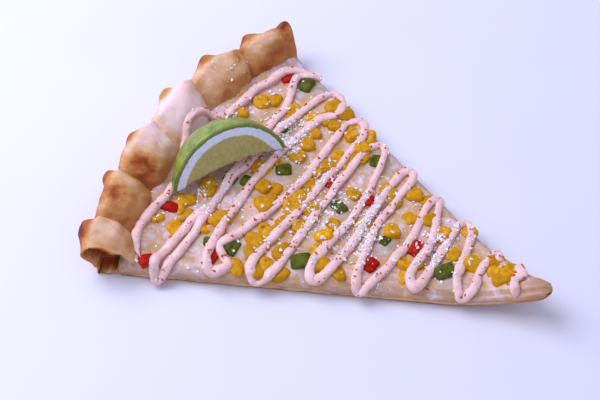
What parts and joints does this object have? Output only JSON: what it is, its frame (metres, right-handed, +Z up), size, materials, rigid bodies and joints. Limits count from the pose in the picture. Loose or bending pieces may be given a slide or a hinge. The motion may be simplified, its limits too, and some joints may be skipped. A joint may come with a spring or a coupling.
{
  "type": "pizza slice",
  "caption": "Wedge slice of street corn pizza with a rope-crimped rim, cheese layer, corn, diced peppers, zigzag sauce and a lime wedge on top",
  "frame": {"origin": "centre of the bounding box, on the flat underside that the slice lies on", "axes": "+X from the crimped rim to the tip, +Y to the far cut side, +Z up out of the toppings"},
  "size_m": [0.2054, 0.1617, 0.0356],
  "materials": {
    "crust": "matte",
    "cheese": "satin",
    "corn": "gloss",
    "sauce": "satin",
    "crumbled_cheese": "matte",
    "chilli": "matte",
    "lime": "satin",
    "red_pepper": "gloss",
    "green_pepper": "gloss"
  },
  "bodies": {
    "root": {"crust": "crust", "cheese": "cheese", "lime_wedge": "lime", "red_pepper_1": "red_pepper", "red_pepper_2": "red_pepper", "red_pepper_3": "red_pepper", "red_pepper_4": "red_pepper", "red_pepper_5": "red_pepper", "red_pepper_6": "red_pepper", "red_pepper_7": "red_pepper", "red_pepper_8": "red_pepper", "red_pepper_9": "red_pepper", "green_pepper_1": "green_pepper", "green_pepper_2": "green_pepper", "green_pepper_3": "green_pepper", "green_pepper_4": "green_pepper", "green_pepper_5": "green_pepper", "green_pepper_6": "green_pepper", "green_pepper_7": "green_pepper", "green_pepper_8": "green_pepper", "green_pepper_9": "green_pepper", "green_pepper_10": "green_pepper", "green_pepper_11": "green_pepper", "green_pepper_12": "green_pepper"}
  },
  "joints": []
}
